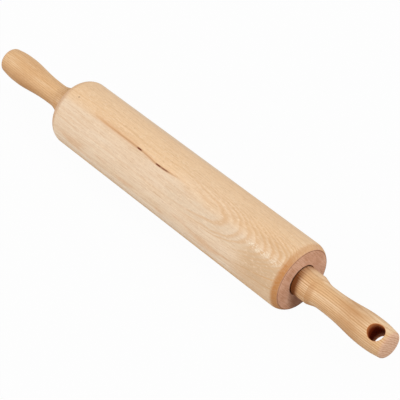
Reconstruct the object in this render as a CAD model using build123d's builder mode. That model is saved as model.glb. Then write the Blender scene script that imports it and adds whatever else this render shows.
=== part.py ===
import os
from math import cos, radians, sin

from build123d import *

# Rolling pin with a free-turning roller and two turned handles.
# The pin lies along X with its centre at the origin. The handle with the hanging hole is at +X.

# Roller, turned from one length of maple
roller_diameter = 56.0
roller_length = 254.0
shoulder_length = 6.5
shoulder_drop = 2.8
shoulder_bulge = 0.6
face_edge_ease = 0.6
counterbore_gap = 0.5
counterbore_rim_ease = 0.4

# Steel rod that carries the roller and joins the handles
rod_diameter = 8.0
rod_seat_depth = 44.0
rod_end_chamfer = 0.8

# Flanged nylon bushes, pressed into the roller's bore from both ends
bush_length = 24.0
bush_wall = 2.0
bush_clearance = 0.05
bush_flange_diameter = 18.0
bush_flange_thickness = 1.8
bush_edge_chamfer = 0.4

# Thrust washers on the rod, against the handles' collars
washer_diameter = 16.0
washer_thickness = 1.6
washer_clearance = 0.2
end_play = 0.3

# Turned handles, with places counted along the pin from the roller's end face
collar_diameter = 24.0
collar_insert = 0.8
collar_place = 13.5
collar_edge_ease = 1.5
neck_diameter = 19.2
neck_place = 26.6
grip_diameter = 24.6
grip_place = 66.4
tip_diameter = 21.2
tip_place = 85.8
tip_dome = 0.9
tip_ease = 3.0
glue_space = 1.5

# Where the handle curves' control points lie between the places above
cove_start_share = 0.55
cove_fall_share = 0.85
cove_end_share = 0.55
swell_start_share = 0.5
swell_end_share = 0.33
tail_start_share = 0.6
tail_end_share = 0.4
tail_fall_share = 0.5

# Hanging hole across one handle, leaning towards -Y as it rises
hang_hole_diameter = 12.7
hang_hole_place = 75.7
hang_hole_lean = 23.5
hang_hole_ease = 0.8

# Sizes that follow from those above
roller_radius = roller_diameter / 2
collar_radius = collar_diameter / 2
neck_radius = neck_diameter / 2
grip_radius = grip_diameter / 2
tip_radius = tip_diameter / 2
rod_radius = rod_diameter / 2
bush_bore_radius = rod_radius + bush_clearance
bush_radius = bush_bore_radius + bush_wall
counterbore_radius = collar_radius + counterbore_gap

# Stations along the pin, on the +X side
face_x = roller_length / 2
collar_end_x = face_x - collar_insert
washer_inner_x = collar_end_x - washer_thickness
flange_outer_x = washer_inner_x - end_play
counterbore_floor_x = flange_outer_x - bush_flange_thickness
bush_inner_x = counterbore_floor_x - bush_length
shoulder_x = face_x - shoulder_length
collar_x = face_x + collar_place
neck_x = face_x + neck_place
grip_x = face_x + grip_place
tip_x = face_x + tip_place
rod_end_x = collar_end_x + rod_seat_depth
rod_hole_end_x = rod_end_x + glue_space
hang_hole_x = face_x + hang_hole_place

os.makedirs("parts", exist_ok=True)

# Roller: half of its section, mirrored and turned
with BuildPart() as roller:
    with BuildSketch(Plane.XZ):
        with BuildLine():
            Polyline(
                (shoulder_x, roller_radius),
                (0, roller_radius),
                (0, bush_radius),
                (counterbore_floor_x, bush_radius),
                (counterbore_floor_x, counterbore_radius),
                (face_x, counterbore_radius),
                (face_x, roller_radius - shoulder_drop),
            )
            SagittaArc(
                (face_x, roller_radius - shoulder_drop),
                (shoulder_x, roller_radius),
                -shoulder_bulge,
            )
        make_face()
        mirror(about=Plane.YZ)
    revolve(axis=Axis.X)
    end_rings = roller.edges().filter_by(GeomType.CIRCLE).filter_by(
        lambda ring: abs(abs(ring.center().X) - face_x) < face_edge_ease
    )
    rims = end_rings.filter_by(lambda ring: ring.radius < roller_radius - 2 * shoulder_drop)
    fillet(rims, counterbore_rim_ease)
    outer_rings = roller.edges().filter_by(GeomType.CIRCLE).filter_by(
        lambda ring: abs(ring.radius - roller_radius + shoulder_drop) < shoulder_bulge
    )
    fillet(outer_rings, face_edge_ease)
roller.part.label = "roller"
export_step(roller.part, "parts/roller.step")

# Axle rod, chamfered at both ends
with BuildPart() as axle_rod:
    with BuildSketch(Plane.YZ):
        Circle(rod_radius)
    extrude(amount=rod_end_x, both=True)
    chamfer(axle_rod.edges().filter_by(GeomType.CIRCLE), rod_end_chamfer)
axle_rod.part.label = "axle_rod"
export_step(axle_rod.part, "parts/axle_rod.step")

# Bush: a sleeve in the roller's bore, with its flange on the counterbore's floor
with BuildPart() as hanging_end_bush:
    with BuildSketch(Plane.XZ):
        with BuildLine():
            Polyline(
                (bush_inner_x, bush_bore_radius),
                (bush_inner_x, bush_radius - bush_edge_chamfer),
                (bush_inner_x + bush_edge_chamfer, bush_radius),
                (counterbore_floor_x, bush_radius),
                (counterbore_floor_x, bush_flange_diameter / 2),
                (flange_outer_x - bush_edge_chamfer, bush_flange_diameter / 2),
                (flange_outer_x, bush_flange_diameter / 2 - bush_edge_chamfer),
                (flange_outer_x, bush_bore_radius),
                close=True,
            )
        make_face()
    revolve(axis=Axis.X)
hanging_end_bush.part.label = "hanging_end_bush"
export_step(hanging_end_bush.part, "parts/hanging_end_bush.step")

with BuildPart() as plain_end_bush:
    mirror(hanging_end_bush.part, about=Plane.YZ)
plain_end_bush.part.label = "plain_end_bush"
export_step(plain_end_bush.part, "parts/plain_end_bush.step")

# Thrust washer: it lies on the collar's inner end and clears the bush's flange by the end play
with BuildPart() as hanging_end_washer:
    with BuildSketch(Plane.YZ.offset(washer_inner_x)):
        Circle(washer_diameter / 2)
        Circle(rod_radius + washer_clearance, mode=Mode.SUBTRACT)
    extrude(amount=washer_thickness)
hanging_end_washer.part.label = "hanging_end_washer"
export_step(hanging_end_washer.part, "parts/hanging_end_washer.step")

with BuildPart() as plain_end_washer:
    mirror(hanging_end_washer.part, about=Plane.YZ)
plain_end_washer.part.label = "plain_end_washer"
export_step(plain_end_washer.part, "parts/plain_end_washer.step")

# Handle as it leaves the lathe: collar, cove, neck, swelling grip and domed tip, bored for the rod
cove_length = neck_place - collar_place
swell_length = grip_place - neck_place
tail_length = tip_place - grip_place
with BuildPart() as turned_handle:
    with BuildSketch(Plane.XZ):
        with BuildLine():
            Polyline((collar_end_x, 0), (collar_end_x, collar_radius), (collar_x, collar_radius))
            Bezier(
                (collar_x, collar_radius),
                (
                    collar_x + cove_start_share * cove_length,
                    collar_radius - cove_fall_share * (collar_radius - neck_radius),
                ),
                (neck_x - cove_end_share * cove_length, neck_radius),
                (neck_x, neck_radius),
            )
            Bezier(
                (neck_x, neck_radius),
                (neck_x + swell_start_share * swell_length, neck_radius),
                (grip_x - swell_end_share * swell_length, grip_radius),
                (grip_x, grip_radius),
            )
            Bezier(
                (grip_x, grip_radius),
                (grip_x + tail_start_share * tail_length, grip_radius),
                (
                    tip_x - tail_end_share * tail_length,
                    grip_radius - tail_fall_share * (grip_radius - tip_radius),
                ),
                (tip_x, tip_radius),
            )
            TangentArc((tip_x + tip_dome, 0), (tip_x, tip_radius), tangent=(0, 1))
            Line((tip_x + tip_dome, 0), (collar_end_x, 0))
        make_face()
    revolve(axis=Axis.X)
    rings = turned_handle.edges().filter_by(lambda edge: edge.is_closed).sort_by(Axis.X)
    fillet(rings.last, tip_ease)
    rings = turned_handle.edges().filter_by(lambda edge: edge.is_closed).sort_by(Axis.X)
    fillet(rings.first, collar_edge_ease)
    with BuildSketch(Plane.YZ.offset(collar_end_x)):
        Circle(rod_radius)
    extrude(amount=rod_hole_end_x - collar_end_x, mode=Mode.SUBTRACT)

# Hanging handle: the turned handle, drilled across the grip
hang_hole_axis = (0, -sin(radians(hang_hole_lean)), cos(radians(hang_hole_lean)))
with BuildPart() as hanging_handle:
    add(turned_handle.part)
    with BuildSketch(Plane(origin=(hang_hole_x, 0, 0), x_dir=(1, 0, 0), z_dir=hang_hole_axis)):
        Circle(hang_hole_diameter / 2)
    extrude(amount=grip_diameter, both=True, mode=Mode.SUBTRACT)
    hole_rims = hanging_handle.edges(Select.LAST).filter_by(GeomType.LINE, reverse=True)
    fillet(hole_rims, hang_hole_ease)
hanging_handle.part.label = "hanging_handle"
export_step(hanging_handle.part, "parts/hanging_handle.step")

with BuildPart() as plain_handle:
    mirror(turned_handle.part, about=Plane.YZ)
plain_handle.part.label = "plain_handle"
export_step(plain_handle.part, "parts/plain_handle.step")
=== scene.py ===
import math

import bmesh
import bpy
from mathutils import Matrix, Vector


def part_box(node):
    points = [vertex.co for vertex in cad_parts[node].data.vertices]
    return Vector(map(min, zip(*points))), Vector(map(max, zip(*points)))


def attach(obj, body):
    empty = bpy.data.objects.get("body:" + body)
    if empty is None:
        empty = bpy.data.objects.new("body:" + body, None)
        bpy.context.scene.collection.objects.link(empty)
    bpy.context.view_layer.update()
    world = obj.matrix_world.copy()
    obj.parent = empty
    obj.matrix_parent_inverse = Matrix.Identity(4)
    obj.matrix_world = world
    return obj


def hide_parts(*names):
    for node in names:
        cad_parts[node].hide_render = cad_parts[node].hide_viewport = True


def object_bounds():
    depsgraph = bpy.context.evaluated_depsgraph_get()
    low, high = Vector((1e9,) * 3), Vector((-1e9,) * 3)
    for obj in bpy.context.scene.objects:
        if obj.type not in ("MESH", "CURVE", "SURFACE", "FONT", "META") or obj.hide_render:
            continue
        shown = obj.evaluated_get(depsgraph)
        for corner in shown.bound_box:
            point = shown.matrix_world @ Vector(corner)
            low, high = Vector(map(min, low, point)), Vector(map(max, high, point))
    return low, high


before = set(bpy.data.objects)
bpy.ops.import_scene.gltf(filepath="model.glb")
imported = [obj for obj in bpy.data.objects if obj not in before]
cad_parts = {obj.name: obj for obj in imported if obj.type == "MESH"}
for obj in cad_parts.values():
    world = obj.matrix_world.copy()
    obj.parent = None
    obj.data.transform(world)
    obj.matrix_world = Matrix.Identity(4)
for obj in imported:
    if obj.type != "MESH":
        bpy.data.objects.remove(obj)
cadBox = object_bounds()
print("frame loaded with", len(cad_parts), "nodes")

mm = 0.001

# The photograph's viewpoint: angles in degrees, pixels in its own 400 by 400 frame
photo = {
    "azimuth": 47.43,
    "elevation": 43.92,
    "distance": 1.2665,
    "focalPixels": 1667.9,
    "framePixels": 400,
    "pinCentrePixels": (183.49, 190.31),
    "sensor": 36.0,
}


def viewAxes(azimuth, elevation):
    a, e = math.radians(azimuth), math.radians(elevation)
    back = Vector((math.sin(a) * math.cos(e), -math.cos(a) * math.cos(e), math.sin(e)))
    right = Vector((math.cos(a), math.sin(a), 0))
    return back, right, back.cross(right)


# On the pin's section: towards the viewer, and towards the lower left of the photograph
back, right, upward = viewAxes(photo["azimuth"], photo["elevation"])
facing = Vector((0, back.y, back.z)).normalized()
lowered = Vector((1, 0, 0)).cross(facing)


def makeCamera():
    half = photo["framePixels"] / 2
    perPixel = photo["distance"] / photo["focalPixels"]
    across = (half - photo["pinCentrePixels"][0]) * perPixel
    down = (half - photo["pinCentrePixels"][1]) * perPixel
    camera = bpy.data.objects.new("camera", bpy.data.cameras.new("camera"))
    camera.data.sensor_fit = "HORIZONTAL"
    camera.data.sensor_width = photo["sensor"]
    camera.data.lens = photo["focalPixels"] / photo["framePixels"] * photo["sensor"]
    camera.location = back * photo["distance"] + right * across - upward * down
    camera.rotation_mode = "QUATERNION"
    camera.rotation_quaternion = (-back).to_track_quat("-Z", "Y")
    bpy.context.scene.collection.objects.link(camera)
    bpy.context.scene.camera = camera


class Value:  # a socket of numbers that can stand in a Python sum
    def __init__(self, sheet, socket):
        self.sheet = sheet
        self.socket = socket

    def __add__(self, other):
        return self.sheet.math("ADD", self, other)

    def __radd__(self, other):
        return self.sheet.math("ADD", other, self)

    def __sub__(self, other):
        return self.sheet.math("SUBTRACT", self, other)

    def __rsub__(self, other):
        return self.sheet.math("SUBTRACT", other, self)

    def __mul__(self, other):
        return self.sheet.math("MULTIPLY", self, other)

    def __rmul__(self, other):
        return self.sheet.math("MULTIPLY", other, self)

    def __truediv__(self, other):
        return self.sheet.math("DIVIDE", self, other)


class Sheet:  # the node tree of one finish, of the sky or of one form
    def __init__(self, tree):
        self.tree = tree
        self.tree.nodes.clear()

    def node(self, kind, settings=None, sockets=None):
        made = self.tree.nodes.new(kind)
        for name, setting in (settings or {}).items():
            setattr(made, name, setting)
        for key, given in (sockets or {}).items():
            if isinstance(given, Value):
                self.tree.links.new(given.socket, made.inputs[key])
            else:
                made.inputs[key].default_value = given
        return made

    def value(self, kind, settings=None, sockets=None, output=0):
        return Value(self, self.node(kind, settings, sockets).outputs[output])

    def math(self, operation, first, second=0.0):
        return self.value("ShaderNodeMath", {"operation": operation}, {0: first, 1: second})

    def hypot(self, first, second):
        return self.math("SQRT", first * first + second * second)

    def point(self, x, y, z):
        return self.value("ShaderNodeCombineXYZ", None, {0: x, 1: y, 2: z})

    def parts(self, vector):
        split = self.node("ShaderNodeSeparateXYZ", None, {0: vector})
        return [Value(self, out) for out in split.outputs]

    def rise(self, value, low, high):  # from 0 at low to 1 at high
        settings = {"interpolation_type": "SMOOTHSTEP"}
        return self.value("ShaderNodeMapRange", settings, {0: value, 1: low, 2: high})

    def fall(self, value, low, high):
        return 1.0 - self.rise(value, low, high)

    def span(self, value, low, high, soft):  # 1 between low and high, with soft edges
        return self.rise(value, low - soft, low + soft) * self.fall(value, high - soft, high + soft)

    def mixed(self, share, first, second):
        sockets = {0: share, 6: first, 7: second}
        return self.value("ShaderNodeMix", {"data_type": "RGBA"}, sockets, 2)

    def noise(self, place, detail=2.0, rough=0.5):
        sockets = {"Vector": place, "Scale": 1.0, "Detail": detail, "Roughness": rough}
        return self.value("ShaderNodeTexNoise", None, sockets)

    def places(self):  # object coordinates in millimetres
        where = self.value("ShaderNodeTexCoord", None, None, "Object")
        scaled = self.value("ShaderNodeVectorMath", {"operation": "SCALE"}, {0: where, 3: 1 / mm})
        return self.parts(scaled)

    def surface(self, colour, rough, height, depth, metallic=0.0, gloss=0.5, cover=None):
        sockets = {"Strength": 1.0, "Distance": depth, "Height": height}
        bump = self.value("ShaderNodeBump", None, sockets)
        sockets = {"Base Color": colour, "Roughness": rough, "Metallic": metallic}
        sockets.update({"Specular IOR Level": gloss, "Normal": bump})
        shader = self.value("ShaderNodeBsdfPrincipled", None, sockets)
        if cover:
            shader = self.value("ShaderNodeMixShader", None, {0: cover[0], 1: shader, 2: cover[1]})
        self.close("ShaderNodeOutputMaterial", shader)

    def close(self, kind, shader):
        self.node(kind, None, {"Surface": shader})


def newFinish(name, kind=Sheet, *given):
    material = bpy.data.materials.new(name)
    material.use_nodes = True
    return material, kind(material.node_tree, *given)


def srgb(*levels):  # a colour as a screen shows it, 0 to 255
    shares = [level / 255 for level in levels]
    return tuple(((s + 0.055) / 1.055) ** 2.4 if s > 0.04 else s / 12.92 for s in shares) + (1.0,)


# Steps through the noises that make growth rings uneven and give each ring its own strength
ringNoise = {"unevenStep": 0.31, "toneStep": 0.73, "toneSeed": 5.0}


# The sheet of one wood. Its x runs along the pin, u towards the side in view and v across that side
class Wood(Sheet):
    def __init__(self, tree, look, seed=0.0, turn=0.0):
        super().__init__(tree)
        self.look, self.seed = look, seed
        self.x, self.y, self.z = self.places()
        c, s = math.cos(math.radians(turn)), math.sin(math.radians(turn))
        self.u = self.section(facing * c + lowered * s)
        self.v = self.section(lowered * c - facing * s)

    def section(self, way):  # places along one direction of the pin's section
        return self.y * way.y + self.z * way.z

    def grain(self, name):
        length, width, offset, detail, rough = self.look["grains"][name]
        x = self.x / length + (offset + self.seed)
        return self.noise(self.point(x, self.y / width + self.seed, self.z / width), detail, rough)

    def endGrain(self, name):
        deepSize, sideSize, detail, rough = self.look["endGrains"][name]
        place = self.point(self.u / deepSize, self.v / sideSize, self.x / self.look["endDepth"])
        return self.noise(place, detail, rough)

    def sway(self, name, size):  # a grain that swings about zero
        return (self.grain(name) - 0.5) * self.look[size]

    def level(self, value, name):
        return self.rise(value, *self.look["levels"][name])

    def counted(self, name):
        return self.level(self.grain(name), name)

    def least(self, name, value):
        share = self.look["least"][name]
        return share + (1 - share) * value

    def tinted(self, colour, mask, name):
        tint, strength = self.look["tints"][name]
        return self.mixed(mask * strength, colour, tint)

    def fromPith(self):
        deep = self.u + self.sway("deep", "wander") + self.look["pithDepth"]
        side = self.v + self.sway("side", "wander") - self.look["pithSide"]
        return self.hypot(deep, side) + self.sway("ripple", "ripple")

    def ringLines(self, reach):  # dark lines of the rings, and a strength for each ring
        rings = reach / self.look["ringWidth"]
        place = self.point(rings * ringNoise["unevenStep"], self.seed, 0.0)
        uneven = self.noise(place, detail=1.0) - 0.5
        rings = rings + uneven * (2 * self.look["ringUneven"])
        phase = self.math("FRACT", rings)
        line = self.level(phase, "lineRises") * (1.0 - self.level(phase, "lineFalls"))
        number = self.math("FLOOR", rings) * ringNoise["toneStep"]
        place = self.point(number, self.seed + ringNoise["toneSeed"], 0.0)
        tone = self.noise(place, detail=0.0)
        return line, self.least("ring", self.level(tone, "ringTone"))

    def finished(self, colour, fibre, line, pores, ends, more=0.0, cover=None):
        look, high = self.look, self.look["heights"]
        rough = look["rough"] + look["roughVaries"] * (fibre + ends)
        height = fibre * high["fibre"] + line * high["line"] - pores * high["pore"] + more
        depth = look["bumpDepth"] * mm
        self.surface(colour, rough, height, depth, gloss=look["gloss"], cover=cover)


# Pale maple. Lengths are in millimetres. Two numbers are where a change starts and ends, and three
# are a band's two edges and their softness
maple = {
    "pithDepth": 60.0,
    "pithSide": 1.0,
    "ringWidth": 0.71,
    "ringUneven": 0.25,
    "wander": 2.2,
    "ripple": 0.35,
    "leanStart": 54.0,
    "leanSoft": 25.0,
    "lean": 0.095,
    "streakPlace": -5.2,
    "streakWander": 2.0,
    "sag": 1.7,
    "edgeAbove": (-0.6, -5.0, -4.0),  # the streak's edge: sharpest, and more to the left and right
    "edgeBelow": (1.2, 6.0, 6.0),
    "dotPlace": (-112.5, -9.0),
    "dotSize": (0.1, 0.9),  # squares of distances
    "endDepth": 30.0,
    "boreTurn": 0.4,
    "rough": 0.5,
    "roughVaries": 0.1,
    "bumpDepth": 0.06,
    "gloss": 0.2,
    "warm": srgb(240, 204, 163),
    "cream": srgb(234, 210, 183),
    "creamLowAndLight": srgb(246, 222, 194),
    "endLight": srgb(228, 184, 156),
    "endDark": srgb(182, 126, 92),
    # The counterbore's wood as painted lit and painted shaded
    "boreLitColour": srgb(214, 150, 100),
    "boreShadedColour": srgb(168, 84, 44),
    "tints": {  # a colour, and how strongly it is laid on
        "tan": (srgb(232, 197, 156), 0.3),
        "brown": (srgb(211, 178, 142), 0.8),
        "dull": (srgb(180, 160, 130), 0.15),
        "rosy": (srgb(234, 194, 156), 0.75),
        # The next two are painted light along the lower edge and painted shade along the upper edge
        "lowEdgeLight": (srgb(255, 240, 220), 0.9),
        "topEdgeShade": (srgb(180, 136, 96), 0.35),
        "ring": (srgb(212, 160, 106), 0.55),
        "strand": (srgb(214, 174, 132), 0.34),
        "shimmer": (srgb(252, 228, 198), 0.4),
        "fibre": (srgb(214, 174, 132), 0.3),
        "hair": (srgb(206, 164, 124), 0.45),
        "pore": (srgb(180, 136, 96), 0.35),
        "fleck": (srgb(252, 238, 216), 0.65),
        "halo": (srgb(206, 150, 100), 0.22),
        "stain": (srgb(206, 150, 100), 0.6),
        "streak": (srgb(112, 46, 22), 1.0),
        "shoulder": (srgb(194, 133, 78), 1.0),
        # A painted shadow low on the face, and a painted shade line round its edge
        "faceShadow": (srgb(120, 66, 40), 0.58),
        "rim": (srgb(136, 84, 50), 0.75),
    },
    "grains": {  # length and width of a noise, its offset, detail and roughness
        "deep": (60, 45, 3.1, 2.0, 0.5),
        "side": (80, 50, 8.7, 1.0, 0.5),
        "ripple": (12, 4, 7.3, 1.0, 0.5),
        "fibre": (42, 0.5, 1.3, 3.0, 0.6),
        "strand": (26, 1.3, 9.2, 2.0, 0.6),
        "shimmer": (3.2, 1.1, 4.4, 2.0, 0.6),
        "hair": (8, 0.7, 6.1, 2.0, 0.7),
        "broad": (110, 8, 5.9, 2.0, 0.5),
        "cloud": (15, 5, 4.2, 2.0, 0.5),
        "pore": (2.2, 0.22, 2.2, 1.0, 0.5),
        "streak": (30, 300, 6.4, 2.0, 0.5),
        "rosy": (30, 7, 3.7, 2.0, 0.5),
        "fleck": (1.5, 0.7, 12.5, 2.0, 0.5),
    },
    "endGrains": {  # the two sizes of an end grain noise, its detail and roughness
        "ray": (9.0, 0.8, 2.0, 0.6),
        "mottle": (2.2, 1.2, 3.0, 0.6),
        "patch": (14.0, 14.0, 1.0, 0.5),
    },
    "levels": {  # from where to where a noise or a ring's phase counts
        "lineRises": (0.05, 0.65),
        "lineFalls": (0.7, 1.0),
        "ringTone": (0.42, 0.62),
        "strand": (0.45, 0.7),
        "strandOnShoulder": (0.35, 0.65),
        "shimmer": (0.5, 0.75),
        "fibre": (0.45, 0.75),
        "hair": (0.52, 0.72),
        "pore": (0.6, 0.74),
        "tan": (0.45, 0.7),
        "creamBehind": (0.42, 0.62),
        "rosy": (0.5, 0.62),
        "fleck": (0.48, 0.66),
        "ray": (0.35, 0.7),
        "mottle": (0.35, 0.7),
        "patch": (0.35, 0.65),
    },
    "along": {  # places along the pin
        "arches": (74.0, 88.0),
        "archSides": (-15.0, 45.0),
        "sagStarts": (-36.0, -15.0),
        "sagEnds": (-18.0, 16.0),
        "softLeft": (-112.0, -70.0),
        "softRight": (0.0, 45.0),
        "creamAbove": (8.0, 76.0, 14.0),
        "nearEnd": (78.0, 100.0),
        "dull": (-5.0, 12.0),
        "lowEdgeLight": (70.0, 100.0),
        "topEdgeShade": (30.0, 80.0),
        "ringsGrow": (10.0, 60.0),
        "ringsGrowMore": (80.0, 110.0),
        "flecks": (86.0, 119.0, 4.0),
        "stain": (-82.0, 4.0, 9.0),
        "firstCore": (-38.5, -34.0, 1.6),
        "secondCore": (-16.0, -11.5, 1.5),
        "coreTail": (-11.0, -3.0, 2.5),
        "thread": (-66.0, 6.0, 12.0),
        "halo": (-92.0, -38.0, 6.0),
        "shoulder": (120.8, 124.0),
        "otherShoulder": (-10.0, 10.0),
        "face": (126.5, 126.9),
        "rim": (125.8, 126.5),
        "faceShadow": (0.0, 10.0),
    },
    "across": {  # places across the side in view, from the pin's axis down to the lower left
        "arches": (-11.0, 5.0, 3.0),
        "archSides": (-17.0, -3.0, 3.0),
        "creamAbove": (-24.0, -10.0),
        "nearCream": (2.0, 7.0),
        "creamLowAndLight": (6.0, 24.0),
        "rosy": (19.0, 26.0, 3.0),
        "brown": (1.0, 7.0),
        "brownFades": (18.0, 24.0),
        "brownStreak": (-10.0, -4.0, 4.0),
        "dull": (1.0, 13.0, 3.0),
        "lowEdgeLight": (22.5, 27.5),
        "topEdgeShade": (-27.4, -25.8),
        "ringsUpper": (-20.0, -11.0),
        "flecks": (-0.8, 3.6, 1.5),
        "halo": (-9.0, -3.0, 2.5),
        "shoulder": (-14.0, 2.0),
        "bore": (-10.0, 8.0),
    },
    "inView": (6.0, 14.0),
    "counterbore": (12.5, 12.9),
    "rimShadeBand": (24.7, 25.3, 0.25),
    "faceShadowHeight": (-15.0, -8.0),
    "faceShadowSide": (-14.0, -5.0),
    "fromStreak": {  # how far the parts of the streak reach from its line
        "stain": (0.1, 1.6),
        "firstCore": (0.3, 0.95),
        "secondCore": (0.2, 0.9),
        "thread": (0.05, 0.7),
    },
    "least": {  # what a mask doesn't fall below
        "ring": 0.12,
        "cloud": 0.8,
        "nearCream": 0.5,
        "brown": 0.45,
        "lowEdgeLight": 0.2,
        "ringsUpper": 0.3,
        "otherShoulder": 0.45,
        "strandOnShoulder": 0.8,
        "upperShoulder": 0.5,
    },
    "shares": {  # how much a mask counts in a sum
        "arches": 0.8,
        "archSides": 0.9,
        "creamAbove": 0.45,
        "creamLostNear": 0.6,
        "brownStreak": 0.6,
        "rings": 0.5,
        "ringsGrow": 0.35,
        "coreTail": 0.65,
        "thread": 0.22,
        "dot": 0.5,
        "endTone": 0.1,
        "patch": 0.3,
        "mottle": 0.15,
        "ray": 0.4,
    },
    "heights": {"fibre": 0.5, "line": 0.2, "pore": 0.4, "mottle": 0.5},
}


def mapleFinish():
    material, wood = newFinish("roller maple", Wood, maple)
    look, share, onX, onV = maple, maple["shares"], maple["along"], maple["across"]
    x, v = wood.x, wood.v
    along = wood.math("ABSOLUTE", x)
    radius = wood.hypot(wood.y, wood.z)
    # Marks of the photographed side fade out round the back
    shown = wood.rise(wood.u, *look["inView"])

    # The pith lies behind the roller and leans away by the hanging end, which draws arches there
    ahead = x - look["leanStart"]
    lean = (ahead + wood.hypot(ahead, look["leanSoft"])) * (look["lean"] / 2)
    line, ringTone = wood.ringLines(wood.fromPith() - lean)
    arches = wood.rise(x, *onX["arches"]) * wood.span(v, *onV["arches"])
    archSides = wood.rise(x, *onX["archSides"]) * wood.span(v, *onV["archSides"])
    arches = wood.math("MAXIMUM", arches, archSides * share["archSides"])
    line = line * wood.math("MAXIMUM", ringTone, arches * share["arches"])

    fibre, strand, broad = wood.grain("fibre"), wood.grain("strand"), wood.grain("broad")
    pores = wood.counted("pore")

    # A mineral streak along the side in view parts warm wood above it from cream below
    sag = wood.rise(x, *onX["sagStarts"]) * wood.fall(x, *onX["sagEnds"]) * look["sag"]
    path = v - look["streakPlace"] - sag + wood.sway("streak", "streakWander")
    softLeft = wood.fall(x, *onX["softLeft"])
    softRight = wood.rise(x, *onX["softRight"])

    def edge(name):
        sharpest, left, right = look[name]
        return sharpest + left * softLeft + right * softRight

    below = wood.rise(path, edge("edgeAbove"), edge("edgeBelow"))
    above = wood.span(x, *onX["creamAbove"]) * wood.rise(v, *onV["creamAbove"])
    below = wood.math("MAXIMUM", below, above * share["creamAbove"])
    nearEnd = wood.rise(x, *onX["nearEnd"])
    lost = nearEnd * wood.least("nearCream", wood.rise(v, *onV["nearCream"]))
    cream = below * (1.0 - lost * share["creamLostNear"]) * shown
    cream = cream + (1.0 - shown) * wood.level(broad, "creamBehind")
    cream = cream * wood.least("cloud", wood.grain("cloud"))
    # The cream is lighter towards the lower side, partly in the wood and partly as painted light
    low = wood.rise(v, *onV["creamLowAndLight"]) * shown
    colour = wood.mixed(cream, look["warm"], wood.mixed(low, look["cream"], look["creamLowAndLight"]))

    # Patches of tan, brown, dull and rosy wood, painted light along the lower edge and painted
    # shade along the upper one
    colour = wood.tinted(colour, wood.level(broad, "tan"), "tan")
    brown = wood.rise(v, *onV["brown"]) * wood.least("brown", wood.fall(v, *onV["brownFades"]))
    brown = brown + wood.span(v, *onV["brownStreak"]) * share["brownStreak"]
    colour = wood.tinted(colour, brown * nearEnd * shown, "brown")
    dull = wood.span(v, *onV["dull"]) * wood.rise(x, *onX["dull"]) * shown
    colour = wood.tinted(colour, dull, "dull")
    rosy = wood.span(v, *onV["rosy"]) * wood.counted("rosy") * shown
    colour = wood.tinted(colour, rosy, "rosy")
    lowEdgeLight = wood.rise(v, *onV["lowEdgeLight"]) * wood.least("lowEdgeLight", wood.fall(x, *onX["lowEdgeLight"]))
    colour = wood.tinted(colour, lowEdgeLight * shown, "lowEdgeLight")
    topEdgeShade = wood.fall(v, *onV["topEdgeShade"]) * wood.fall(x, *onX["topEdgeShade"]) * shown
    colour = wood.tinted(colour, topEdgeShade, "topEdgeShade")

    # The rings, then finer and finer fibres over them
    grown = wood.rise(x, *onX["ringsGrow"]) + wood.rise(x, *onX["ringsGrowMore"])
    grown = share["rings"] + share["ringsGrow"] * grown
    upper = wood.least("ringsUpper", 1.0 - wood.fall(v, *onV["ringsUpper"]) * shown)
    colour = wood.tinted(colour, line * grown * upper, "ring")
    colour = wood.tinted(colour, wood.level(strand, "strand"), "strand")
    colour = wood.tinted(colour, wood.counted("shimmer"), "shimmer")
    colour = wood.tinted(colour, wood.level(fibre, "fibre"), "fibre")
    colour = wood.tinted(colour, wood.counted("hair"), "hair")
    colour = wood.tinted(colour, pores, "pore")

    # Bright flecks of cross grain inside the arches of the rings, partly ray flecks and partly a
    # painted sheen
    flecked = wood.span(x, *onX["flecks"]) * wood.span(v, *onV["flecks"]) * shown
    colour = wood.tinted(colour, wood.counted("fleck") * flecked, "fleck")

    # The streak's halo and faint stain, its two dark cores, a thread, and a dot by the plain end
    off = wood.math("ABSOLUTE", path)

    def nearStreak(name):
        return wood.fall(off, *look["fromStreak"][name])

    halo = wood.span(v, *onV["halo"]) * wood.span(x, *onX["halo"]) * shown
    colour = wood.tinted(colour, halo, "halo")
    stain = nearStreak("stain") * wood.span(x, *onX["stain"]) * shown
    colour = wood.tinted(colour, stain, "stain")
    dark = wood.span(x, *onX["firstCore"]) * nearStreak("firstCore")
    second = wood.span(x, *onX["secondCore"]) + wood.span(x, *onX["coreTail"]) * share["coreTail"]
    dark = dark + wood.math("MINIMUM", second, 1.0) * nearStreak("secondCore")
    dark = dark + wood.span(x, *onX["thread"]) * nearStreak("thread") * share["thread"]
    fromDot = wood.hypot(x - look["dotPlace"][0], v - look["dotPlace"][1])
    dark = dark + wood.fall(fromDot * fromDot, *look["dotSize"]) * share["dot"]
    colour = wood.tinted(colour, dark * shown, "streak")

    # End grain darkens the rounded shoulder, which painted shade darkens further on its lower side,
    # and takes over on the face and in the counterbore
    shoulder = wood.rise(along, *onX["shoulder"])
    shoulder = shoulder * wood.least("otherShoulder", wood.rise(x, *onX["otherShoulder"]))
    shoulder = shoulder * wood.least("strandOnShoulder", wood.level(strand, "strandOnShoulder"))
    # Painted shade: the shoulder's tint is laid on at half strength on its upper side
    shoulder = shoulder * wood.least("upperShoulder", wood.rise(v, *onV["shoulder"]))
    colour = wood.tinted(colour, shoulder, "shoulder")
    face = wood.rise(along, *onX["face"])
    mottle = wood.endGrain("mottle")
    endTone = share["endTone"] + wood.level(wood.endGrain("patch"), "patch") * share["patch"]
    endTone = endTone + wood.level(mottle, "mottle") * share["mottle"]
    endTone = endTone + wood.level(wood.endGrain("ray"), "ray") * share["ray"]
    endColour = wood.mixed(endTone, look["endLight"], look["endDark"])
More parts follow.
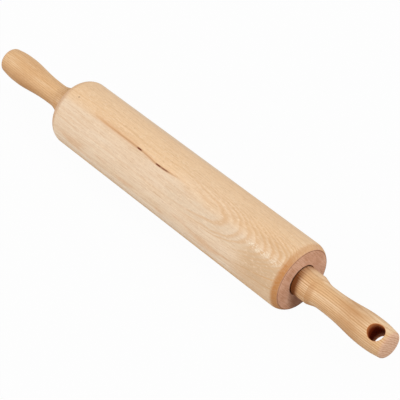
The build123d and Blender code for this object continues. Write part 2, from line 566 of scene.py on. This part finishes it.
    # A painted shadow of the handle lies low on the hanging end's face
    faceShadow = wood.fall(wood.z, *look["faceShadowHeight"]) * wood.rise(x, *onX["faceShadow"])
    faceShadow = faceShadow * wood.rise(wood.y, *look["faceShadowSide"])
    endColour = wood.tinted(endColour, faceShadow, "faceShadow")
    colour = wood.mixed(face, colour, endColour)
    # Painted shade: a dark line round the face's outer edge
    rim = wood.span(radius, *look["rimShadeBand"]) * wood.rise(along, *onX["rim"])
    colour = wood.tinted(colour, rim, "rim")
    # The counterbore is painted as lit wood above and as shaded wood towards the lower left
    bore = wood.rise(v - look["boreTurn"] * wood.u, *onV["bore"])
    boreLitAndShaded = wood.mixed(bore, look["boreLitColour"], look["boreShadedColour"])
    colour = wood.mixed(wood.fall(radius, *look["counterbore"]), colour, boreLitAndShaded)
    wood.finished(colour, fibre, line, pores, face, face * mottle * look["heights"]["mottle"])
    return material


# Straight-grained wood of the handles. Their stripes are growth rings met nearly side on
ash = {
    "pithDepth": 4.0,
    "pithSide": 46.0,
    "ringWidth": 1.55,
    "ringUneven": 0.5,
    "ringCone": 0.012,
    "wander": 2.6,
    "ripple": 0.5,
    "faceAt": 127.0,  # the roller's end face
    "endDepth": 30.0,
    "rough": 0.48,
    "roughVaries": 0.1,
    "bumpDepth": 0.05,
    "gloss": 0.2,
    "light": srgb(246, 214, 174),
    "warm": srgb(230, 188, 140),
    "endLight": srgb(234, 196, 166),
    "endDark": srgb(196, 144, 110),
    # Painted shade deep inside the hole, then the warm wood by its rims
    "holeShadeColour": srgb(116, 42, 18),
    "holeWarm": srgb(196, 118, 62),
    "tints": {
        "stripe": (srgb(184, 126, 72), 1.0),
        "fibre": (srgb(184, 126, 72), 0.4),
        "belly": (srgb(198, 146, 96), 1.0),
        "pore": (srgb(160, 110, 64), 0.55),
        "cove": (srgb(184, 126, 72), 0.5),
        "burnishAndShade": (srgb(122, 62, 12), 1.0),
    },
    "grains": {
        "deep": (60, 30, 3.1, 1.0, 0.5),
        "side": (70, 30, 8.7, 2.0, 0.5),
        "ripple": (9, 3, 7.3, 1.0, 0.5),
        "fibre": (26, 0.45, 1.3, 3.0, 0.6),
        "broad": (60, 6, 5.9, 2.0, 0.5),
        "pore": (2.6, 0.24, 2.2, 1.0, 0.5),
        "belly": (28, 5, 14.7, 2.0, 0.5),
    },
    "endGrains": {"ray": (4.0, 0.6, 2.0, 0.6)},
    "levels": {
        "lineRises": (0.3, 0.88),
        "lineFalls": (0.9, 1.0),
        "ringTone": (0.3, 0.65),
        "fibre": (0.4, 0.75),
        "broad": (0.3, 0.7),
        "pore": (0.56, 0.7),
        "belly": (0.35, 0.65),
        "ray": (0.35, 0.7),
    },
    "along": {
        "collar": (140.0, 141.0),
        "belly": (169.0, 191.0, 10.0),
        "coveStarts": (140.3, 140.8),
        "coveEnds": (143.0, 147.0),
        "burnishAndShade": (126.5, 133.0),
        "shade": (129.5, 135.5),
        "ends": (209.9, 212.7),
    },
    # Marks are painted darker as shade towards the lower side, over these places
    "under": {  # places across the handle, counted as on the roller
        "stripe": (-9.0, 1.0),
        "belly": (2.0, 10.0),
        "cove": (-7.0, 3.0),
        "shade": (-8.0, 5.0),
    },
    "holeWall": (0.05, 0.5),  # beyond the hole's radius
    "holeShadeDepth": (5.0, 12.0),  # from the pin's axis
    "least": {"ring": 0.35, "pore": 0.25, "belly": 0.4, "stripe": 0.6, "cove": 0.35, "shade": 0.3},
    "shares": {
        "collarStripes": 0.25,
        "belly": 0.8,
        "bellyMost": 0.85,
        "shade": 0.9,
        "burnishAndShade": 0.3,
        "burnishAndShadeMost": 0.94,
        "endTone": 0.15,
        "ray": 0.45,
        "endLines": 0.6,
    },
    "heights": {"fibre": 0.5, "line": 0.3, "pore": 0.5},
}

# What sets each handle's wood apart. Turn is which way its rings face, in degrees, and the others
# are how strong its rings, its tan, its browned wood with its painted shade, and the painted shade
# on its underside are
plainWood = {
    "seed": 4.0,
    "turn": -25.0,
    "rings": 0.4,
    "tan": 0.35,
    "brownedAndShaded": 0.35,
    "under": 0.6,
    "drilled": False,
}
hangingWood = {
    "seed": 0.0,
    "turn": 4.0,
    "rings": 0.8,
    "tan": 0.0,
    "brownedAndShaded": 1.0,
    "under": 0.25,
    "drilled": True,
}


def handleFinish(name, own):
    material, wood = newFinish(name, Wood, ash, own["seed"], own["turn"])
    look, share, onX = ash, ash["shares"], ash["along"]
    along = wood.math("ABSOLUTE", wood.x)
    under = wood.section(lowered)

    # Painted shade: marks are laid on more strongly towards the lower side
    def lower(mask):
        return wood.rise(under, *look["under"][mask])

    line, ringTone = wood.ringLines(wood.fromPith() + wood.x * look["ringCone"])
    line = line * ringTone
    fibre = wood.grain("fibre")
    pores = wood.counted("pore") * wood.least("pore", line)

    colour = wood.mixed(wood.counted("broad") + own["tan"], look["light"], look["warm"])
    stripe = line * (1.0 + share["collarStripes"] * wood.fall(along, *onX["collar"]))
    stripe = stripe * wood.least("stripe", lower("stripe")) * own["rings"]
    colour = wood.tinted(colour, stripe, "stripe")
    colour = wood.tinted(colour, wood.level(fibre, "fibre"), "fibre")
    belly = wood.span(along, *onX["belly"]) * wood.least("belly", wood.counted("belly"))
    belly = belly * (share["belly"] * own["brownedAndShaded"]) + lower("belly") * own["under"]
    colour = wood.tinted(colour, wood.math("MINIMUM", belly, share["bellyMost"]), "belly")
    colour = wood.tinted(colour, pores, "pore")

    # Cross grain and painted shade darken the cove, and the collar beside the roller is burnished
    # brown and painted with contact shade, deepest on its lower side
    cove = wood.rise(along, *onX["coveStarts"]) * wood.fall(along, *onX["coveEnds"])
    colour = wood.tinted(colour, cove * wood.least("cove", lower("cove")) * own["brownedAndShaded"], "cove")
    burnishAndShade = wood.fall(along, *onX["burnishAndShade"]) * (1.0 + line) * share["burnishAndShade"]
    shade = wood.fall(along, *onX["shade"]) * wood.least("shade", lower("shade"))
    burnishAndShade = burnishAndShade + shade * (share["shade"] * own["brownedAndShaded"])
    colour = wood.tinted(colour, wood.math("MINIMUM", burnishAndShade, share["burnishAndShadeMost"]), "burnishAndShade")

    ends = wood.rise(along, *onX["ends"])
    endTone = share["endTone"] + wood.level(wood.endGrain("ray"), "ray") * share["ray"]
    endTone = endTone + line * share["endLines"]
    colour = wood.mixed(ends, colour, wood.mixed(endTone, look["endLight"], look["endDark"]))

    # The hole's wall is warm by its rims, and painted dark with shade inside, where a matt diffuse
    # sheet takes over
    cover = None
    if own["drilled"]:
        lean = math.radians(handle["holeLean"])
        beside = wood.section(Vector((0, math.cos(lean), math.sin(lean))))
        away = wood.hypot(wood.x - (look["faceAt"] + handle["holePlace"]), beside)
        wall = wood.fall(away, *(handle["holeRadius"] + wide for wide in look["holeWall"]))
        inner = wood.fall(wood.hypot(wood.u, wood.v), *look["holeShadeDepth"])
        colour = wood.mixed(wall, colour, look["holeWarm"])
        paintedHoleShade = wood.value("ShaderNodeBsdfDiffuse", None, {"Color": look["holeShadeColour"]})
        cover = (wall * inner, paintedHoleShade)
    wood.finished(colour, fibre, line, pores, ends, cover=cover)
    return material


# Steel and nylon of the pieces inside: one noise between two colours
drawnSteel = {
    "grain": (40.0, 0.15, 0.15),
    "detail": 2.0,
    "colours": ((0.42, 0.43, 0.44, 1), (0.6, 0.6, 0.6, 1)),
    "rough": 0.28,
    "roughVaries": 0.2,
    "bumpDepth": 0.02,
    "metallic": 1.0,
}
darkNylon = {
    "grain": (2.0, 2.0, 2.0),
    "detail": 3.0,
    "colours": ((0.075, 0.04, 0.025, 1), (0.045, 0.025, 0.015, 1)),
    "rough": 0.4,
    "roughVaries": 0.15,
    "bumpDepth": 0.03,
    "metallic": 0.0,
}


def insideFinish(name, look):
    material, sheet = newFinish(name)
    x, y, z = (place / size for place, size in zip(sheet.places(), look["grain"]))
    cloud = sheet.noise(sheet.point(x, y, z), look["detail"])
    rough = look["rough"] + look["roughVaries"] * cloud
    colour = sheet.mixed(cloud, *look["colours"])
    sheet.surface(colour, rough, cloud, look["bumpDepth"] * mm, metallic=look["metallic"])
    return material


# Half sections are lists of (place along the pin, radius) points in millimetres


def bezier(start, pullA, pullB, end, steps):
    points = []
    for i in range(1, steps + 1):
        t = i / steps
        weights = ((1 - t) ** 3, 3 * t * (1 - t) ** 2, 3 * t * t * (1 - t), t ** 3)
        corners = (start, pullA, pullB, end)
        points.append(tuple(sum(w * c[k] for w, c in zip(weights, corners)) for k in (0, 1)))
    return points


def arc(centre, start, end, steps):  # the short way round a centre, without its start
    centre = Vector(centre)
    first, last = Vector(start) - centre, Vector(end) - centre
    turn = math.atan2(first.x * last.y - first.y * last.x, first.dot(last))
    points = []
    for i in range(1, steps + 1):
        c, s = math.cos(turn * i / steps), math.sin(turn * i / steps)
        points.append((centre.x + first.x * c - first.y * s, centre.y + first.x * s + first.y * c))
    return points


def bowed(start, end, bulge, steps):  # an arc that stands to the left of its chord by bulge
    a, b = Vector(start), Vector(end)
    chord = b - a
    radius = (chord.length ** 2 / 4 + bulge * bulge) / (2 * bulge)
    left = Vector((-chord.y, chord.x)).normalized()
    return arc((a + b) / 2 + left * (bulge - radius), a, b, steps)


def eased(first, second, ease, steps=7):  # joins two runs by an arc, with the wood on their right
    parallel, slack = 1e-12, 1e-6

    def shifted(run):
        made = []
        for start, end in zip(run, run[1:]):
            a, b = Vector(start), Vector(end)
            way = (b - a).normalized()
            made.append((a, a + Vector((way.y, -way.x)) * ease, b - a))
        return made

    for i, (a, start, way) in reversed(list(enumerate(shifted(first)))):
        for j, (c, otherStart, otherWay) in enumerate(shifted(second)):
            spread = way.x * otherWay.y - way.y * otherWay.x
            if abs(spread) < parallel:
                continue
            gap = otherStart - start
            s = (gap.x * otherWay.y - gap.y * otherWay.x) / spread
            t = (gap.x * way.y - gap.y * way.x) / spread
            if -slack <= s <= 1 + slack and -slack <= t <= 1 + slack:
                enter = a + way * s
                bend = arc(start + way * s, enter, c + otherWay * t, steps)
                return first[:i + 1] + [tuple(enter)] + bend + second[j + 1:]
    raise ValueError("these two runs are too short for their ease")


def guarded(points, guard=0.15, longest=5.0, shortest=1.6):  # keeps flat spans flat by corners
    made = [points[0]]
    for start, end in zip(points, points[1:]):
        a, b = Vector(start), Vector(end)
        length = (b - a).length
        if length > shortest:
            inner = max(1, math.ceil((length - 2 * guard) / longest))
            shares = [(guard + (length - 2 * guard) * i / inner) / length for i in range(inner + 1)]
            made += [tuple(a.lerp(b, share)) for share in shares]
        made.append(end)
    return made


def turningTree():
    form = Sheet(bpy.data.node_groups.new("turned form", "GeometryNodeTree"))
    tree = form.tree
    named = {"Outline": "Geometry", "Facets": "Int", "Seam Angle": "Float"}
    named.update({"Join Distance": "Float", "Material": "Material"})
    for name, kind in named.items():
        tree.interface.new_socket(name, in_out="INPUT", socket_type="NodeSocket" + kind)
    tree.interface.new_socket("Geometry", in_out="OUTPUT", socket_type="NodeSocketGeometry")
    group = form.node("NodeGroupInput")
    outline, facets, seam, join, material = (Value(form, group.outputs[name]) for name in named)

    size = form.node("GeometryNodeAttributeDomainSize", None, {"Geometry": outline})
    count = Value(form, size.outputs["Point Count"])
    columns = facets + 1.0
    sizes = {"Size X": 1.0, "Size Y": 1.0, "Vertices X": count, "Vertices Y": columns}
    grid = form.value("GeometryNodeMeshGrid", None, sizes)
    index = form.value("GeometryNodeInputIndex")
    station = form.math("FLOOR", (index + 0.5) / columns)
    column = index - station * columns
    where = form.value("GeometryNodeInputPosition")
    sample = {"Geometry": outline, "Value": where, "Index": station}
    sampled = form.value("GeometryNodeSampleIndex", {"data_type": "FLOAT_VECTOR"}, sample)
    along, _, radius = form.parts(sampled)
    angle = column / facets * math.tau + seam
    spot = form.point(along, radius * form.math("SINE", angle), radius * form.math("COSINE", angle))
    shape = form.value("GeometryNodeSetPosition", None, {"Geometry": grid, "Position": spot})
    shape = form.value("GeometryNodeMergeByDistance", None, {"Geometry": shape, "Distance": join})
    shape = form.value("GeometryNodeSetShadeSmooth", None, {"Geometry": shape})
    shape = form.value("GeometryNodeRealizeInstances", None, {"Geometry": shape})
    shape = form.value("GeometryNodeSetMaterial", None, {"Geometry": shape, "Material": material})
    form.node("NodeGroupOutput", None, {"Geometry": shape})
    return tree


# Points nearer than these lengths in millimetres become one
welding = {"join": 0.001, "speck": 0.0001}


def turned(name, points, material, facets, seam=0.0):
    outline = bpy.data.meshes.new(name + " outline")
    spots = [(x * mm, 0, r * mm) for x, r in points]
    links = [(i, i + 1) for i in range(len(points) - 1)]
    outline.from_pydata(spots, links, [])
    maker = bpy.data.objects.new(name + " outline", outline)
    bpy.context.scene.collection.objects.link(maker)
    modifier = maker.modifiers.new("turned form", "NODES")
    modifier.node_group = lathe
    given = {"Facets": facets, "Seam Angle": seam}
    given.update({"Join Distance": welding["join"] * mm, "Material": material})
    for item in lathe.interface.items_tree:
        if item.item_type == "SOCKET" and item.in_out == "INPUT" and item.name in given:
            modifier[item.identifier] = given[item.name]
    bpy.context.view_layer.update()
    made = maker.evaluated_get(bpy.context.evaluated_depsgraph_get())
    mesh = bpy.data.meshes.new_from_object(made)
    bpy.data.objects.remove(maker)
    mesh.name = name
    mesh.materials.clear()
    mesh.materials.append(material)
    shape = bmesh.new()
    shape.from_mesh(mesh)
    bmesh.ops.dissolve_degenerate(shape, dist=welding["speck"] * mm, edges=shape.edges)
    faceOut(name, shape)
    shape.to_mesh(mesh)
    shape.free()
    piece = bpy.data.objects.new(name, mesh)
    bpy.context.scene.collection.objects.link(piece)
    return piece


def faceOut(name, shape):
    bmesh.ops.recalc_face_normals(shape, faces=shape.faces)
    if shape.calc_volume(signed=True) < 0:
        bmesh.ops.reverse_faces(shape, faces=shape.faces)
    for face in shape.faces:
        face.smooth = True
        face.material_index = 0
    loose = sum(not edge.is_manifold for edge in shape.edges)
    print(name, "has", len(shape.faces), "faces and", loose, "open edges")


roller = {
    "shoulderLength": 6.5,
    "shoulderDrop": 2.8,
    "shoulderBulge": 0.6,
    "shoulderSteps": 14,
    "faceEase": 0.6,
    "rimEase": 0.4,
    "boreRadius": 6.05,
    "counterboreRadius": 12.5,
    "counterboreDepth": 4.5,
    "facets": 160,
}


def makeRoller(material):
    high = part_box("roller")[1]
    face, radius = high.x / mm, high.z / mm
    floor, wall = face - roller["counterboreDepth"], roller["counterboreRadius"]
    bore = roller["boreRadius"]
    edge = (face, radius - roller["shoulderDrop"])
    shoulder = (face - roller["shoulderLength"], radius)
    # Walked outwards along the outside and back along the inside, so the wood is on the right
    outside = [(0, radius), shoulder]
    outside += bowed(shoulder, edge, roller["shoulderBulge"], roller["shoulderSteps"])
    half = eased(outside, [edge, (face, wall)], roller["faceEase"])
    half = eased(half, [(face, wall), (floor, wall)], roller["rimEase"])
    half = guarded(half + [(floor, bore), (0, bore)])
    # The last point meets the first, and the other half mirrors this one
    whole = [(-x, r) for x, r in half] + half[::-1]
    piece = turned("maple_roller", whole[:-1] + [whole[0]], material, roller["facets"])
    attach(piece, "roller_set")
    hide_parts("roller")


handle = {
    "insert": 0.8,
    "collarRadius": 12.0,
    "collarPlace": 13.5,
    "collarEase": 1.5,
    "neckRadius": 9.6,
    "neckPlace": 26.6,
    "gripRadius": 12.3,
    "gripPlace": 66.4,
    "tipRadius": 10.6,
    "tipPlace": 85.8,
    "tipDome": 0.9,
    "tipEase": 3.0,
    "cove": (0.55, 0.85, 0.55),  # where the curves' control points lie, as shares
    "swell": (0.5, 0.33),
    "tail": (0.6, 0.4, 0.5),
    "coveSteps": 30,
    "swellSteps": 36,
    "tailSteps": 30,
    "domeSteps": 14,
    "tipSteps": 14,
    "rodRadius": 4.0,
    "rodHoleDepth": 45.5,
    "facets": 96,
    "holeRadius": 6.35,
    "holePlace": 75.7,
    "holeLean": 23.5,
    "holeEase": 0.8,
    "patchMargin": 0.7,  # of the patch opened round the hole, beyond its eased rim
    "patchSpare": 0.1,
    "patchSteps": 5,
    "rimSteps": 8,
    "wallSteps": 12,
    "skinBefore": 20.0,  # which points of the outline are the skin round the hole
    "skinOutside": 1.0,
}


def handleOutline(face):
    h = handle
    start, holeEnd = face - h["insert"], face - h["insert"] + h["rodHoleDepth"]
    collar, neck, grip, tip = ((face + h[name + "Place"], h[name + "Radius"])
                               for name in ("collar", "neck", "grip", "tip"))
    cove, swell, tail = neck[0] - collar[0], grip[0] - neck[0], tip[0] - grip[0]
    fall, taper = collar[1] - neck[1], grip[1] - tip[1]
    out, drop, home = h["cove"]
    pulls = (collar[0] + out * cove, collar[1] - drop * fall), (neck[0] - home * cove, neck[1])
    side = [(start, h["collarRadius"]), collar] + bezier(collar, *pulls, neck, h["coveSteps"])
    out, home = h["swell"]
    pulls = (neck[0] + out * swell, neck[1]), (grip[0] - home * swell, grip[1])
    side += bezier(neck, *pulls, grip, h["swellSteps"])
    out, home, drop = h["tail"]
    pulls = (grip[0] + out * tail, grip[1]), (tip[0] - home * tail, grip[1] - drop * taper)
    side += bezier(grip, *pulls, tip, h["tailSteps"])
    end = (tip[0] + h["tipDome"], 0)
    domeRadius = (tip[1] ** 2 + h["tipDome"] ** 2) / (2 * h["tipDome"])
    dome = [tip] + arc((end[0] - domeRadius, 0), tip, end, h["domeSteps"])
    side = eased(side, dome, h["tipEase"], h["tipSteps"])
    side = eased([(start, h["rodRadius"]), (start, h["collarRadius"])], side, h["collarEase"])
    return guarded([(holeEnd, 0), (holeEnd, h["rodRadius"])] + side)


def makePlainHandle(material):
    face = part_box("roller")[1].x / mm
    points = [(-x, r) for x, r in handleOutline(face)]
    piece = turned("turned_handle_plain", points, material, handle["facets"])
    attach(piece, "handle_set")
    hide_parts("plain_handle")


def stitch(shape, first, second):
    count = len(first)
    for i in range(count):
        shape.faces.new((first[i], first[(i + 1) % count], second[(i + 1) % count], second[i]))


def drill(piece, points, centre, lean):  # opens both sides and lines the eased hole between them
    h = handle
    axis = Vector((0, -math.sin(lean), math.cos(lean)))
    aside = Vector((0, math.cos(lean), math.sin(lean)))
    nearest = h["rodRadius"] + h["skinOutside"]
    skin = [p for p in points if p[0] > centre - h["skinBefore"] and p[1] > nearest]
    rim = h["holeRadius"] + h["holeEase"]
    reach = rim + h["patchMargin"]
    step = math.tau / h["facets"]

    def radiusAt(along):
        for a, b in zip(skin, skin[1:]):
            if a[0] <= along <= b[0] and b[0] > a[0]:
                return a[1] + (b[1] - a[1]) * (along - a[0]) / (b[0] - a[0])
        return skin[-1][1]

    columns = math.ceil(math.asin(reach / radiusAt(centre + reach)) / step)
    widest = (columns + h["patchSpare"]) * step

    def flat(vert):
        spot = vert.co / mm
        return spot.x - centre, spot.dot(aside), spot.dot(axis)

    def bearing(vert):
        a, b, _ = flat(vert)
        return math.atan2(b, a)

    def inPatch(vert, side):
        a, b, up = flat(vert)
        if math.hypot(b, up) <= nearest or abs(a) >= reach + h["patchMargin"]:
            return False
        return abs(math.atan2(b, up * side)) < widest

    shape = bmesh.new()
    shape.from_mesh(piece.data)
    ends = []
    for side in (1, -1):
        opened = [face for face in shape.faces if all(inPatch(vert, side) for vert in face.verts)]
        bmesh.ops.delete(shape, geom=opened, context="FACES")
        edge = [vert for vert in shape.verts if vert.is_boundary and inPatch(vert, side)]
        edge.sort(key=bearing)
        last, flatSteps, bendSteps = edge, h["patchSteps"], h["rimSteps"]
        for k in range(1, flatSteps + bendSteps + 1):
            ring = []
            for vert in edge:
                a, b, _ = flat(vert)
                away, turn, drop = math.hypot(a, b), math.atan2(b, a), 0.0
                if k <= flatSteps:
                    away += (rim - away) * k / flatSteps
                else:
                    bend = math.pi / 2 * (k - flatSteps) / bendSteps
                    away = rim - h["holeEase"] * math.sin(bend)
                    drop = h["holeEase"] * (1 - math.cos(bend))
                a, b = away * math.cos(turn), away * math.sin(turn)
                up = math.sqrt(radiusAt(centre + a) ** 2 - b * b) - drop
                spot = Vector((centre + a, 0, 0)) + aside * b + axis * (up * side)
                ring.append(shape.verts.new(spot * mm))
            stitch(shape, last, ring)
            last = ring
        ends.append(last)
    last = ends[0]
    for k in range(1, h["wallSteps"]):
        ring = [shape.verts.new(a.co.lerp(b.co, k / h["wallSteps"])) for a, b in zip(*ends)]
        stitch(shape, last, ring)
        last = ring
    stitch(shape, last, ends[1])
    faceOut(piece.name + " drilled", shape)
    shape.to_mesh(piece.data)
    shape.free()


def makeHangingHandle(material):
    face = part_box("roller")[1].x / mm
    points = handleOutline(face)
    lean = math.radians(handle["holeLean"])
    # One column of the grid lies on the hole's own line, so both openings match
    piece = turned("turned_handle_hanging", points, material, handle["facets"], -lean)
    drill(piece, points, face + handle["holePlace"], lean)
    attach(piece, "handle_set")
    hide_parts("hanging_handle")


def dressInside(steel, nylon):
    finishes = {"axle_rod": steel, "hanging_end_washer": steel, "plain_end_washer": steel}
    finishes.update({"hanging_end_bush": nylon, "plain_end_bush": nylon})
    for name, finish in finishes.items():
        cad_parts[name].data.materials.clear()
        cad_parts[name].data.materials.append(finish)


light = {
    "sky": 0.74,
    "keyStrength": 0.93,
    "keySoftness": 12.0,
    "keyFrom": (0.75, 0.1, 0.65),
    "fillStrength": 0.85,
    "fillSoftness": 20.0,
    "fillFrom": (-0.35, -0.9, 0.2),
    "floorColour": (0.5, 0.5, 0.5, 1),
    "floorWhite": 0.97,
    "floorSize": 6.0,
}


def makeFloor():
    low = cadBox[0].z
    size = light["floorSize"]
    mesh = bpy.data.meshes.new("floor")
    corners = [(-size, -size, low), (size, -size, low), (size, size, low), (-size, size, low)]
    mesh.from_pydata(corners, [], [(0, 1, 2, 3)])
    floor = bpy.data.objects.new("floor", mesh)
    bpy.context.scene.collection.objects.link(floor)
    material, cloth = newFinish("white floor")
    plain = cloth.value("ShaderNodeBsdfDiffuse", None, {"Color": light["floorColour"]})
    white = cloth.value("ShaderNodeEmission", None, {"Color": (1, 1, 1, 1), "Strength": 1.0})
    seen = cloth.value("ShaderNodeLightPath", None, None, "Is Camera Ray")
    share = seen * light["floorWhite"]
    blend = cloth.value("ShaderNodeMixShader", None, {0: share, 1: plain, 2: white})
    cloth.close("ShaderNodeOutputMaterial", blend)
    mesh.materials.append(material)


def makeSky():
    world = bpy.data.worlds.new("studio")
    bpy.context.scene.world = world
    world.use_nodes = True
    sky = Sheet(world.node_tree)

    def background(strength):
        sockets = {"Color": (1, 1, 1, 1), "Strength": strength}
        return sky.value("ShaderNodeBackground", None, sockets)

    soft, white = background(light["sky"]), background(1.0)
    path = sky.node("ShaderNodeLightPath")
    seen, glossy, through = (Value(sky, path.outputs["Is " + kind + " Ray"])
                             for kind in ("Camera", "Glossy", "Transmission"))
    shown = sky.math("MINIMUM", seen + glossy + through, 1.0)
    blend = sky.value("ShaderNodeMixShader", None, {0: shown, 1: soft, 2: white})
    sky.close("ShaderNodeOutputWorld", blend)


def makeSun(name):
    lamp = bpy.data.objects.new(name, bpy.data.lights.new(name, "SUN"))
    lamp.data.energy = light[name + "Strength"]
    lamp.data.angle = math.radians(light[name + "Softness"])
    lamp.rotation_mode = "QUATERNION"
    lamp.rotation_quaternion = Vector(light[name + "From"]).to_track_quat("Z", "Y")
    bpy.context.scene.collection.objects.link(lamp)


makeCamera()
makeFloor()
makeSky()
makeSun("key")
makeSun("fill")
print("camera, floor and lights placed")
lathe = turningTree()
makeRoller(mapleFinish())
makePlainHandle(handleFinish("plain handle wood", plainWood))
makeHangingHandle(handleFinish("hanging handle wood", hangingWood))
dressInside(insideFinish("drawn steel", drawnSteel), insideFinish("dark nylon", darkNylon))
print("pieces made and dressed")

bpy.context.scene.view_settings.view_transform = "Standard"
